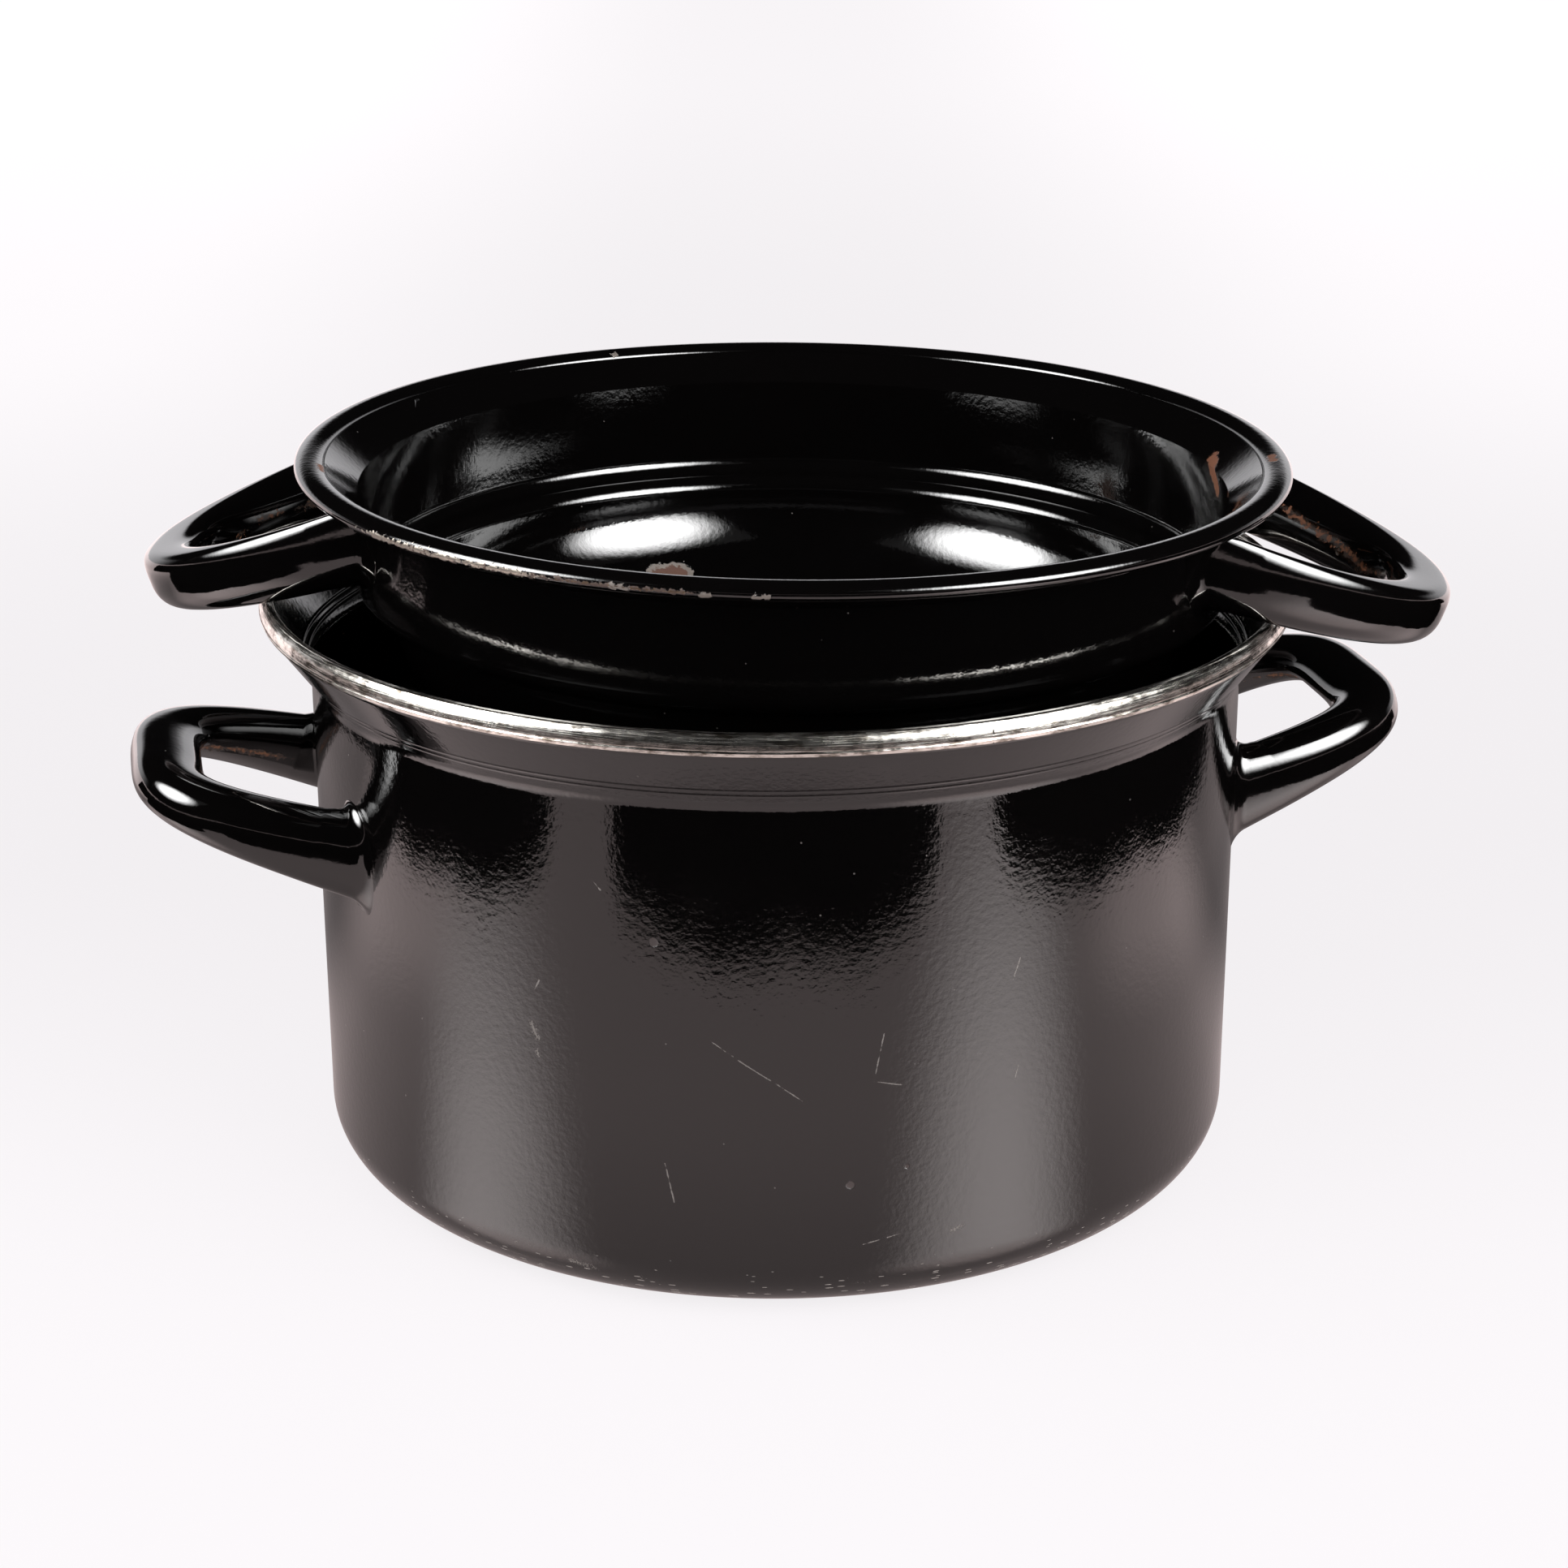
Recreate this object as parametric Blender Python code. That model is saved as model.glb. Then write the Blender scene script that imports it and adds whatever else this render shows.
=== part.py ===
"""Mussel pot: a black enamelled steel pot with a bright steel rim band and two loop handles.

Its deep lid doubles as a bowl for the empty shells, so it is modelled the way it is used at
the table: upside down in the pot's mouth, hanging by its two handles on the rim band.
Units are metres, +Z is up, and the pot's base stands on z = 0 with its axis on Z.
"""

import math

import bmesh
import bpy
from mathutils import Matrix, Vector

# Air left between two pieces that touch, and the facets of every turned piece
GAP = 0.0003
FACETS = 56

# Pot body: pressed sheet, the thickness counts the steel and both coats of enamel
BODY_SHEET = 0.0012
BODY_RADIUS = 0.120
BASE_ROUND = 0.0133
FLARE_FOOT_HEIGHT = 0.1312
FLARE_ANGLE = math.radians(36.3)
FLARE_ROUND = 0.006
FLARE_WIDTH = 0.0113
MOUTH_RADIUS = BODY_RADIUS + FLARE_WIDTH
MOUTH_EDGE_HEIGHT = 0.0041
MOUTH_ROUND = 0.002

# Rim band: a strip of stainless steel folded over the upright edge of the mouth
BAND_SHEET = 0.0007
BAND_WIDTH = 0.0036
BAND_ROUND = 0.0011
BAND_TOP_GAP = 0.0006
BAND_SKIRT = 0.0051
BAND_INNER_LEG = 0.0042

# Pot handles: hollow pressed loops that rise outwards from the wall
HANDLE_SHEET = 0.001
HANDLE_SQUARENESS = 2.6
WELD_ROUND = 0.0022
POT_HANDLE_TURN = math.radians(11.7)
POT_HANDLE_HEIGHT = 0.0965
POT_HANDLE_RISE = math.radians(18.5)
POT_HANDLE_HALF_SPAN = 0.0382
POT_HANDLE_TAPER = 0.14
POT_HANDLE_REACH = 0.0462
POT_HANDLE_CORNER = 3.8
POT_HANDLE_FOOT_WIDTH = 0.0122
POT_HANDLE_TIP_WIDTH = 0.0176
POT_HANDLE_FOOT_DEPTH = 0.0205
POT_HANDLE_TIP_DEPTH = 0.0118
POT_HANDLE_LEAN = -0.30

# Lid, drawn upside down as it lies: height 0 is the underside of its ledge
LID_SHEET = 0.0012
LID_CLEARANCE = 0.0193
COLLAR_RADIUS = MOUTH_RADIUS - LID_CLEARANCE
LEDGE_WIDTH = 0.0085
LEDGE_OUTER_ROUND = 0.0045
LEDGE_INNER_ROUND = 0.003
BOWL_DEPTH = 0.032
BOWL_DRAFT = 0.003
BOWL_FLOOR_RADIUS = COLLAR_RADIUS - LEDGE_WIDTH - BOWL_DRAFT
BOWL_ROUND = 0.030
COLLAR_HEIGHT = 0.0268
COLLAR_FLARE = math.radians(48.0)
COLLAR_FLARE_ROUND = 0.007
BEAD_OVERHANG = 0.0143
BEAD_RADIUS = COLLAR_RADIUS + BEAD_OVERHANG
BEAD_WIDTH = 0.0077
BEAD_DEPTH = 0.0046
BEAD_CURL = math.radians(292.0)

# Lid handles: the same kind of loop, falling outwards, so that they rest on the band
LID_HANDLE_TURN = math.radians(-3.7)
LID_HANDLE_HEIGHT = 0.0206
LID_HANDLE_FALL = math.radians(19.1)
LID_HANDLE_HALF_SPAN = 0.0455
LID_HANDLE_TAPER = 0.14
LID_HANDLE_REACH = 0.0611
LID_HANDLE_CORNER = 2.3
LID_HANDLE_FOOT_WIDTH = 0.0118
LID_HANDLE_TIP_WIDTH = 0.0142
LID_HANDLE_FOOT_DEPTH = 0.0194
LID_HANDLE_TIP_DEPTH = 0.0154
LID_HANDLE_LEAN = 0.55

# How far the lid lies off the pot's axis along +X
LID_SHIFT = 0.0043

# Fineness of arcs, of a handle's section and of its run from foot to foot
ARC_STEP = math.radians(31.0)
CURL_STEP = math.radians(42.0)
SECTION_POINTS = 12
LOOP_POINTS = 11


def rounded(corners):
    """Points of a line through corners (r, z, radius), each corner turned on its radius."""
    points = []
    for i, (r, z, radius) in enumerate(corners):
        here = Vector((r, z))
        if radius == 0.0 or i in (0, len(corners) - 1):
            points.append(here)
            continue
        back = (Vector(corners[i - 1][:2]) - here).normalized()
        on = (Vector(corners[i + 1][:2]) - here).normalized()
        inside = back.angle(on)
        run = radius / math.tan(inside / 2)
        centre = here + (back + on).normalized() * radius / math.sin(inside / 2)
        start = here + back * run - centre
        turn = start.angle_signed(here + on * run - centre)
        pieces = max(1, math.ceil(abs(turn) / ARC_STEP))
        for k in range(pieces + 1):
            # angle_signed counts clockwise, and so does this turn
            a = -turn * k / pieces
            spun = Vector((
                start.x * math.cos(a) - start.y * math.sin(a),
                start.x * math.sin(a) + start.y * math.cos(a),
            ))
            points.append(centre + spun)
    return points


def offset_line(points, distance):
    """The line moved sideways by distance, to its right as it runs, with mitred corners."""
    moved = []
    for i, p in enumerate(points):
        runs = []
        if i > 0:
            runs.append((p - points[i - 1]).normalized())
        if i < len(points) - 1:
            runs.append((points[i + 1] - p).normalized())
        normals = [Vector((d.y, -d.x)) for d in runs]
        mean = sum(normals, Vector((0.0, 0.0))).normalized()
        moved.append(p + mean * distance / mean.dot(normals[0]))
    return moved


def shell_outline(middle, sheet):
    """Section of a sheet round its middle line: the inner side out, then the outer side back."""
    inner = offset_line(middle, -sheet / 2)
    outer = offset_line(middle, sheet / 2)
    return inner + outer[::-1]


def material(name, colour, roughness, metallic):
    made = bpy.data.materials.new(name)
    made.use_nodes = True
    shader = made.node_tree.nodes["Principled BSDF"]
    shader.inputs["Base Color"].default_value = (*colour, 1.0)
    shader.inputs["Roughness"].default_value = roughness
    shader.inputs["Metallic"].default_value = metallic
    return made


def turned(name, outline, closed, look, parent=None):
    """A piece of revolution about Z. Its outline runs down the outer side, top to bottom."""
    mesh = bpy.data.meshes.new(name)
    verts = [(p.x, 0.0, p.y) for p in outline]
    edges = [(i, i + 1) for i in range(len(outline) - 1)]
    if closed:
        edges.append((len(outline) - 1, 0))
    mesh.from_pydata(verts, edges, [])
    mesh.materials.append(look)
    piece = bpy.data.objects.new(name, mesh)
    bpy.context.scene.collection.objects.link(piece)
    piece.parent = parent
    screw = piece.modifiers.new("Turn", "SCREW")
    screw.axis = "Z"
    screw.angle = math.tau
    screw.steps = FACETS
    screw.render_steps = FACETS
    screw.use_merge_vertices = True
    screw.merge_threshold = 0.00001
    screw.use_smooth_shade = True
    return piece


def along(line, count):
    """count + 1 points at even distances along the line, with its ends."""
    lengths = [0.0]
    for a, b in zip(line, line[1:]):
        lengths.append(lengths[-1] + (b - a).length)
    points = []
    k = 0
    for i in range(count + 1):
        at = lengths[-1] * i / count
        while k < len(line) - 2 and lengths[k + 1] < at:
            k += 1
        share = (at - lengths[k]) / (lengths[k + 1] - lengths[k])
        points.append(line[k].lerp(line[k + 1], min(max(share, 0.0), 1.0)))
    return points


def radius_at(line, height):
    """Radius of a rising line of points (r, z) at a height, held level past its ends."""
    for low, high in zip(line, line[1:]):
        if low.y <= height <= high.y:
            return low.lerp(high, (height - low.y) / max(high.y - low.y, 1e-9)).x
    return line[0].x if height < line[0].y else line[-1].x


class Loop:
    """One kind of handle, shared by its left and its right copy.

    wall is the rising line (r, z) that its feet are welded to. lean is how far the side next to
    the wall draws back towards the upper face, as a share of the width, or, where it is
    negative, towards the lower face.
    """

    def __init__(self, wall, height, rise, half_span, taper, reach, corner, width, depth, lean):
        self.wall = wall
        self.height = height
        self.rise = rise
        self.half_span = half_span
        self.taper = taper
        self.reach = reach
        self.corner = corner
        self.width = width
        self.depth = depth
        self.lean = lean
        self.foot = math.sqrt(radius_at(wall, height) ** 2 - half_span ** 2)

    def half_line(self):
        """Half of the centre line in the loop's own plane: u runs outwards, v along the wall.

        It is a superellipse whose legs close in by taper on their way out.
        """
        steps = 240
        line = []
        for k in range(steps + 1):
            t = math.pi / 2 * k / steps
            u = self.reach * math.sin(t) ** (2 / self.corner)
            across = max(math.cos(t), 0.0) ** (2 / self.corner)
            line.append(Vector((u, -self.half_span * (1 - self.taper * u / self.reach) * across)))
        return line

    def place(self, u, v, n):
        """A point of the handle's tilted plane, n above it, in the handle's upright frame."""
        return Vector((
            self.foot + u * math.cos(self.rise) - n * math.sin(self.rise),
            v,
            self.height + u * math.sin(self.rise) + n * math.cos(self.rise),
        ))

    def size(self, u):
        """Width and depth of the section at u."""
        share = min(max(u / self.reach, 0.0), 1.0)
        width = self.width[0] + (self.width[1] - self.width[0]) * share
        depth = self.depth[0] + (self.depth[1] - self.depth[0]) * share
        return width, depth

    def section(self, centre, side, swell):
        """The rounded section round a centre (u, v), its width along side, swollen all round."""
        width, depth = self.size(centre.x)
        outline = []
        for k in range(SECTION_POINTS):
            a = math.tau * (k + 0.5) / SECTION_POINTS
            q = math.copysign(abs(math.cos(a)) ** (2 / HANDLE_SQUARENESS), math.cos(a))
            n = math.copysign(abs(math.sin(a)) ** (2 / HANDLE_SQUARENESS), math.sin(a))
            q += (1.0 - q) * abs(self.lean) * max(0.0, math.copysign(n, n * self.lean))
            outline.append(Vector((q * width / 2, n * depth / 2)))
        outline = offset_line([outline[-1]] + outline + [outline[0]], swell)[1:-1]
        ring = []
        for p in outline:
            ring.append(self.place(centre.x + side.x * p.x, centre.y + side.y * p.x, p.y))
        return ring

    def at_wall(self, ring, distance):
        """The section slid along the leg until each point lies at distance from the wall."""
        run = Vector((math.cos(self.rise), 0.0, math.sin(self.rise)))
        skin = offset_line(self.wall, distance)
        slid = []
        for p in ring:
            near, far = -self.depth[0], self.depth[0]
            for _ in range(40):
                middle = (near + far) / 2
                q = p + run * middle
                if math.hypot(q.x, q.y) < radius_at(skin, q.z):
                    near = middle
                else:
                    far = middle
            slid.append(p + run * far)
        return slid

    def skin(self, inset, weld):
        """Sections from foot to foot, inset all round, with the weld's round at each foot."""
        half = along(self.half_line(), LOOP_POINTS)
        foot = Vector((0.0, -self.half_span))
        rings = []
        for share in (0.0, 0.3, 1.0):
            swell = weld * (1.0 - math.sqrt(1.0 - (1.0 - share) ** 2))
            ring = self.section(foot, Vector((0.0, -1.0)), swell - inset)
            rings.append(self.at_wall(ring, GAP + WELD_ROUND * share))
        for i in range(1, len(half)):
            ahead = half[i + 1] if i + 1 < len(half) else Vector((half[i - 1].x, -half[i - 1].y))
            run = (ahead - half[i - 1]).normalized()
            ring = self.section(half[i], Vector((run.y, -run.x)), -inset)
            if min(math.hypot(p.x, p.y) - radius_at(self.wall, p.z) for p in ring) > 2 * WELD_ROUND:
                rings.append(ring)
        for ring in rings[-2::-1]:
            rings.append([Vector((p.x, -p.y, p.z)) for p in ring])
        return rings

    def underside(self, radius, side, turn, shift):
        """Lowest point of the loop over a circle round the pot, in the frame of the lid."""
        lowest = None
        half = along(self.half_line(), 100)
        for leg in (1.0, -1.0):
            rows = []
            for p, ahead in zip(half, half[1:]):
                run = (ahead - p).normalized()
                rows.append(self.section(p, Vector((run.y, -run.x)), 0.0))
            for row in zip(*rows):
                last = None
                for p in row:
                    spot = Matrix.Rotation(turn, 3, "Z") @ Vector((p.x, p.y * leg, p.z))
                    spot.x *= side
                    out = math.hypot(spot.x + shift, spot.y) - radius
                    if out >= 0.0 and last is not None:
                        crossing = last[0].lerp(spot, last[1] / (last[1] - out))
                        if lowest is None or crossing.z < lowest.z:
                            lowest = crossing
                        break
                    last = (spot, out)
        return lowest


def handle(name, loop, turn, look, parent=None):
    """A hollow loop lofted through its sections, open at the feet where it meets the wall."""
    shape = bmesh.new()
    outside = [[shape.verts.new(p) for p in ring] for ring in loop.skin(0.0, WELD_ROUND)]
    inside = [[shape.verts.new(p) for p in ring] for ring in loop.skin(HANDLE_SHEET, 0.0)]
    # Round the section the loft runs along the outside, and back along the inside
    lofts = list(zip(outside, outside[1:])) + list(zip(inside[1:], inside))
    lofts += [(outside[-1], inside[-1]), (inside[0], outside[0])]
    for one, two in lofts:
        for k in range(SECTION_POINTS):
            n = (k + 1) % SECTION_POINTS
            shape.faces.new((one[k], one[n], two[n], two[k]))
    bmesh.ops.recalc_face_normals(shape, faces=shape.faces[:])
    mesh = bpy.data.meshes.new(name)
    shape.to_mesh(mesh)
    shape.free()
    mesh.shade_smooth()
    mesh.set_sharp_from_angle(angle=math.radians(50.0))
    mesh.materials.append(look)
    piece = bpy.data.objects.new(name, mesh)
    bpy.context.scene.collection.objects.link(piece)
    piece.parent = parent
    piece.rotation_euler = (0.0, 0.0, turn)
    return piece


def pot_middle_line():
    """Middle line of the pot's sheet, from the centre of its base to the edge of its mouth."""
    half = BODY_SHEET / 2
    wall = BODY_RADIUS - half
    edge = MOUTH_RADIUS - half
    top = FLARE_FOOT_HEIGHT + (edge - wall) / math.tan(FLARE_ANGLE)
    return rounded([
        (0.0, half, 0.0),
        (wall, half, BASE_ROUND - half),
        (wall, FLARE_FOOT_HEIGHT, FLARE_ROUND),
        (edge, top, MOUTH_ROUND),
        (edge, top + MOUTH_EDGE_HEIGHT, 0.0),
    ])


def band_middle_line(mouth_top):
    """Middle line of the band: up its skirt, over the mouth's edge, and down inside."""
    half = BAND_SHEET / 2
    outer = MOUTH_RADIUS + GAP + half
    inner = outer + half - BAND_WIDTH + half
    top = mouth_top + BAND_TOP_GAP + half
    return rounded([
        (inner, top + half - BAND_INNER_LEG, 0.0),
        (inner, top, BAND_ROUND),
        (outer, top, BAND_ROUND),
        (outer, top + half - BAND_SKIRT, 0.0),
    ])


def lid_middle_line():
    """Middle line of the lid's sheet, from the bowl's centre up to the curled edge."""
    half = LID_SHEET / 2
    wall = COLLAR_RADIUS - half
    bead_inner = BEAD_RADIUS - BEAD_WIDTH + half
    flare_top = COLLAR_HEIGHT + (bead_inner - wall) / math.tan(COLLAR_FLARE)
    line = rounded([
        (0.0, half - BOWL_DEPTH, 0.0),
        (BOWL_FLOOR_RADIUS, half - BOWL_DEPTH, BOWL_ROUND),
        (wall - LEDGE_WIDTH, half, LEDGE_INNER_ROUND),
        (wall, half, LEDGE_OUTER_ROUND),
        (wall, COLLAR_HEIGHT, COLLAR_FLARE_ROUND),
        (bead_inner, flare_top, 0.0),
    ])
    bead_start = len(line)
    across = (BEAD_WIDTH - LID_SHEET) / 2
    up = (BEAD_DEPTH - LID_SHEET) / 2
    centre = Vector((bead_inner + across, flare_top))
    pieces = math.ceil(BEAD_CURL / CURL_STEP)
    for k in range(1, pieces + 1):
        a = math.pi - BEAD_CURL * k / pieces
        line.append(centre + Vector((across * math.cos(a), up * math.sin(a))))
    return line, bead_start


def build():
    for old in list(bpy.data.objects):
        bpy.data.objects.remove(old, do_unlink=True)

    enamel = material("black_enamel", (0.008, 0.0075, 0.0075), 0.12, 0.0)
    lid_enamel = material("black_enamel_lid", (0.008, 0.0075, 0.0075), 0.12, 0.0)
    handle_enamel = material("black_enamel_handles", (0.010, 0.009, 0.009), 0.15, 0.0)
    steel = material("worn_stainless_steel", (0.55, 0.53, 0.50), 0.28, 1.0)

    # Pot: body and band
    pot_line = pot_middle_line()
    turned("pot_body", shell_outline(pot_line, BODY_SHEET), False, enamel)
    mouth_top = pot_line[-1].y
    band_line = band_middle_line(mouth_top)
    turned("rim_band", shell_outline(band_line, BAND_SHEET), True, steel)
    band_top = mouth_top + BAND_TOP_GAP + BAND_SHEET

    # Pot: the two handles, welded to the straight wall
    wall = [Vector((BODY_RADIUS, 0.0)), Vector((BODY_RADIUS, FLARE_FOOT_HEIGHT))]
    pot_loop = Loop(
        wall, POT_HANDLE_HEIGHT, POT_HANDLE_RISE, POT_HANDLE_HALF_SPAN, POT_HANDLE_TAPER,
        POT_HANDLE_REACH, POT_HANDLE_CORNER, (POT_HANDLE_FOOT_WIDTH, POT_HANDLE_TIP_WIDTH),
        (POT_HANDLE_FOOT_DEPTH, POT_HANDLE_TIP_DEPTH), POT_HANDLE_LEAN,
    )
    handle("pot_handle_right", pot_loop, POT_HANDLE_TURN, handle_enamel)
    handle("pot_handle_left", pot_loop, POT_HANDLE_TURN + math.pi, handle_enamel)

    # Lid: its handles fall outwards, and their undersides find the band
    lid_line, bead_start = lid_middle_line()
    outside = offset_line(lid_line[:bead_start], LID_SHEET / 2)
    collar = [p for p in outside if p.x > COLLAR_RADIUS - LEDGE_OUTER_ROUND]
    lid_loop = Loop(
        collar, LID_HANDLE_HEIGHT, -LID_HANDLE_FALL, LID_HANDLE_HALF_SPAN, LID_HANDLE_TAPER,
        LID_HANDLE_REACH, LID_HANDLE_CORNER, (LID_HANDLE_FOOT_WIDTH, LID_HANDLE_TIP_WIDTH),
        (LID_HANDLE_FOOT_DEPTH, LID_HANDLE_TIP_DEPTH), LID_HANDLE_LEAN,
    )
    # A leg that falls outwards touches the band on its outer shoulder
    shoulder = BAND_ROUND + BAND_SHEET / 2
    seat_radius = MOUTH_RADIUS + GAP + BAND_SHEET - shoulder * (1 - math.sin(LID_HANDLE_FALL))
    seat_height = band_top - shoulder * (1 - math.cos(LID_HANDLE_FALL))
    right = lid_loop.underside(seat_radius, 1.0, LID_HANDLE_TURN, LID_SHIFT)
    left = lid_loop.underside(seat_radius, -1.0, LID_HANDLE_TURN, LID_SHIFT)
    # Shifted to +X, the lid rides up on its left handle and sinks on its right one
    tilt = math.atan((right.z - left.z) / (right.x - left.x))
    on_band = (right.z + left.z) / 2 * math.cos(tilt) - (right.x + left.x) / 2 * math.sin(tilt)
    seat = seat_height + GAP / math.cos(LID_HANDLE_FALL) - on_band

    lid = bpy.data.objects.new("lid_frame", None)
    bpy.context.scene.collection.objects.link(lid)
    lid.location = (LID_SHIFT, 0.0, seat)
    lid.rotation_euler = (0.0, tilt, 0.0)

    turned("lid_bowl", shell_outline(lid_line, LID_SHEET), False, lid_enamel, lid)
    handle("lid_handle_right", lid_loop, LID_HANDLE_TURN, handle_enamel, lid)
    handle("lid_handle_left", lid_loop, LID_HANDLE_TURN + math.pi, handle_enamel, lid)


build()
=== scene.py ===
"""Looks of the mussel pot: black vitreous enamel, a worn steel rim band and a studio round it.

The lid lies upside down in the pot's mouth. Units are metres, and sizes repeat the solid's.
"""

import math

import bmesh
import bpy
from mathutils import Matrix, Vector


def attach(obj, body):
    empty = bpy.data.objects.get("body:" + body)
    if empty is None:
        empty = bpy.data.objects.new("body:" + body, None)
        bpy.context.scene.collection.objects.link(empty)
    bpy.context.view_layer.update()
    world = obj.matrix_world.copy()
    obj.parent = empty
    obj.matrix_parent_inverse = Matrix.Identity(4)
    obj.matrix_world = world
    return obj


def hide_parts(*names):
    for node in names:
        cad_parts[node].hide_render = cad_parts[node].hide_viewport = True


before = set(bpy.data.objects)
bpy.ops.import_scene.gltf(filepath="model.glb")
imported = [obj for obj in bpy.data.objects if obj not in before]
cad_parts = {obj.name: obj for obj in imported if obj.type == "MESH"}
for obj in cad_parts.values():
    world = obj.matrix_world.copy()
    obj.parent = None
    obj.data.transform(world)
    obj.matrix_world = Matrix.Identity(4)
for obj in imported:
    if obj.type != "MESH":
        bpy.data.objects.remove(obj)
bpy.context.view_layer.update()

# Pot
GAP = 0.0003
BODY_SHEET = 0.0012
BODY_RADIUS = 0.120
BASE_ROUND = 0.0133
FLARE_FOOT_HEIGHT = 0.1312
FLARE_ANGLE = math.radians(36.3)
FLARE_ROUND = 0.006
MOUTH_RADIUS = BODY_RADIUS + 0.0113
MOUTH_EDGE_HEIGHT = 0.0041
MOUTH_ROUND = 0.002
PRESS_LINES = (0.1342, 0.1358)

# Rim band
BAND_SHEET = 0.0007
BAND_WIDTH = 0.0036
BAND_TOP_GAP = 0.0006
BAND_SKIRT = 0.0051
BAND_INNER_LEG = 0.0042
BAND_EDGE_ROUND = 0.0009

# Lid, height 0 is the underside of its ledge
LID_SHEET = 0.0012
COLLAR_RADIUS = MOUTH_RADIUS - 0.0193
LEDGE_WIDTH = 0.0085
LEDGE_OUTER_ROUND = 0.0045
LEDGE_INNER_ROUND = 0.0036
BOWL_DEPTH = 0.032
BOWL_FLOOR_RADIUS = COLLAR_RADIUS - LEDGE_WIDTH - 0.003
BOWL_ROUND = 0.030
COLLAR_HEIGHT = 0.0268
COLLAR_FLARE = math.radians(48.0)
BEAD_RADIUS = COLLAR_RADIUS + 0.0143
BEAD_WIDTH = 0.0077
BEAD_DEPTH = 0.0046
BEAD_CURL = math.radians(292.0)
BEAD_WEAR_INSET = 0.002
BEAD_WEAR_RISE = 0.0018
LID_SHIFT = 0.0043
LID_SEAT = 0.148803
LID_TILT = math.radians(0.689)

# Handles
WELD_ROUND = 0.0038
WELD_SINK = 0.0002
WELD_END = 1.2 * WELD_ROUND
POT_LOOP = {
    "height": 0.0965, "rise": math.radians(18.5), "half_span": 0.0382, "taper": 0.14,
    "reach": 0.0462, "corner": 3.8, "width": (0.0122, 0.0176), "depth": (0.0205, 0.0118),
    "lean": (-0.30, -0.30), "squareness": (2.25, 2.25, 3.2),
}
POT_HANDLE_TURN = math.radians(11.7)
LID_LOOP = {
    "height": 0.0206, "rise": math.radians(-19.1), "half_span": 0.0455, "taper": 0.14,
    "reach": 0.0611, "corner": 2.3, "width": (0.0118, 0.0142), "depth": (0.0194, 0.0154),
    "lean": (0.55, 0.0), "squareness": (2.25, 4.0, 2.4),
}
LID_HANDLE_TURN = math.radians(-3.7)
SEAM_WIDTH = 0.0022
SEAM_DEPTH = 0.0007
# The seam lies this share of the depth below the middle, and is felt this far
SEAM_DROP = 0.10
SEAM_FAR = 0.02
SIDES = (("right", 0.0), ("left", math.pi))

# Fineness
FACETS = 256
CREASE = math.radians(35.0)
ARC_STEP = math.radians(5.0)
RUN_STEP = 0.003
CAP_STEPS = 8
SAME_POINT = 0.000002
SECTION_POINTS = 44
LOOP_POINTS = 90
PATH_POINTS = 600
# Where a weld's rings lie in its round, and how a foot's points are slid to the wall
WELD_SHARES = (0.0, 0.06, 0.14, 0.24, 0.36, 0.5, 0.66, 0.82, 1.0)
FOOT_REACH = 0.02
FOOT_HALVINGS = 30

# Enamel and studio
ENAMEL = "060505"
ENAMEL_IOR = 1.68
SLOW_WAVE = 0.00018
TABLE_WHITE = "ebe8eb"
TABLE_DIM = 0.14
TABLE_END = 2.6
CLOTH_HEIGHT = 0.001
CLOTH_POINTS = 40
STUDIO_MIDDLE = Vector((0.0, 0.0, 0.1))


def linear(hexcode):
    """Linear colour of an sRGB hex value, such as "1a1918"."""
    parts = [int(hexcode[i:i + 2], 16) / 255 for i in (0, 2, 4)]
    return [p / 12.92 if p <= 0.04045 else ((p + 0.055) / 1.055) ** 2.4 for p in parts]


def add(tree, kind, inputs=None, **settings):
    """One node with its settings. An input is a constant, a node or a node's output."""
    made = tree.nodes.new(kind)
    for name, value in settings.items():
        setattr(made, name, value)
    for key, value in (inputs or {}).items():
        socket = made.inputs[key]
        if isinstance(value, bpy.types.Node):
            value = value.outputs[0]
        if isinstance(value, bpy.types.NodeSocket):
            tree.links.new(value, socket)
        else:
            socket.default_value = value
    return made


# Outlines of the turned pieces


def rounded(corners):
    """Points of a line through corners (r, z, radius), each corner turned on its radius."""
    points = []
    for i, (r, z, radius) in enumerate(corners):
        here = Vector((r, z))
        if radius == 0.0 or i in (0, len(corners) - 1):
            points.append(here)
            continue
        back = (Vector(corners[i - 1][:2]) - here).normalized()
        on = (Vector(corners[i + 1][:2]) - here).normalized()
        inside = back.angle(on)
        run = radius / math.tan(inside / 2)
        centre = here + (back + on).normalized() * radius / math.sin(inside / 2)
        start = here + back * run - centre
        turn = start.angle_signed(here + on * run - centre)
        pieces = max(1, math.ceil(abs(turn) / ARC_STEP))
        for k in range(pieces + 1):
            a = -turn * k / pieces
            spun = Vector((
                start.x * math.cos(a) - start.y * math.sin(a),
                start.x * math.sin(a) + start.y * math.cos(a),
            ))
            points.append(centre + spun)
    return points


def finer(line, step):
    """The line with its long runs cut up, so that a shade at an arc's end stays near it."""
    points = [line[0]]
    for a, b in zip(line, line[1:]):
        count = max(1, math.ceil((b - a).length / step))
        points += [a.lerp(b, k / count) for k in range(1, count + 1)]
    return points


def offset_line(points, distance):
    """The line moved sideways by distance, to its right as it runs, with mitred corners."""
    moved = []
    for i, p in enumerate(points):
        runs = []
        if i > 0:
            runs.append((p - points[i - 1]).normalized())
        if i < len(points) - 1:
            runs.append((points[i + 1] - p).normalized())
        normals = [Vector((d.y, -d.x)) for d in runs]
        mean = sum(normals, Vector((0.0, 0.0))).normalized()
        moved.append(p + mean * distance / mean.dot(normals[0]))
    return moved


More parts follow.
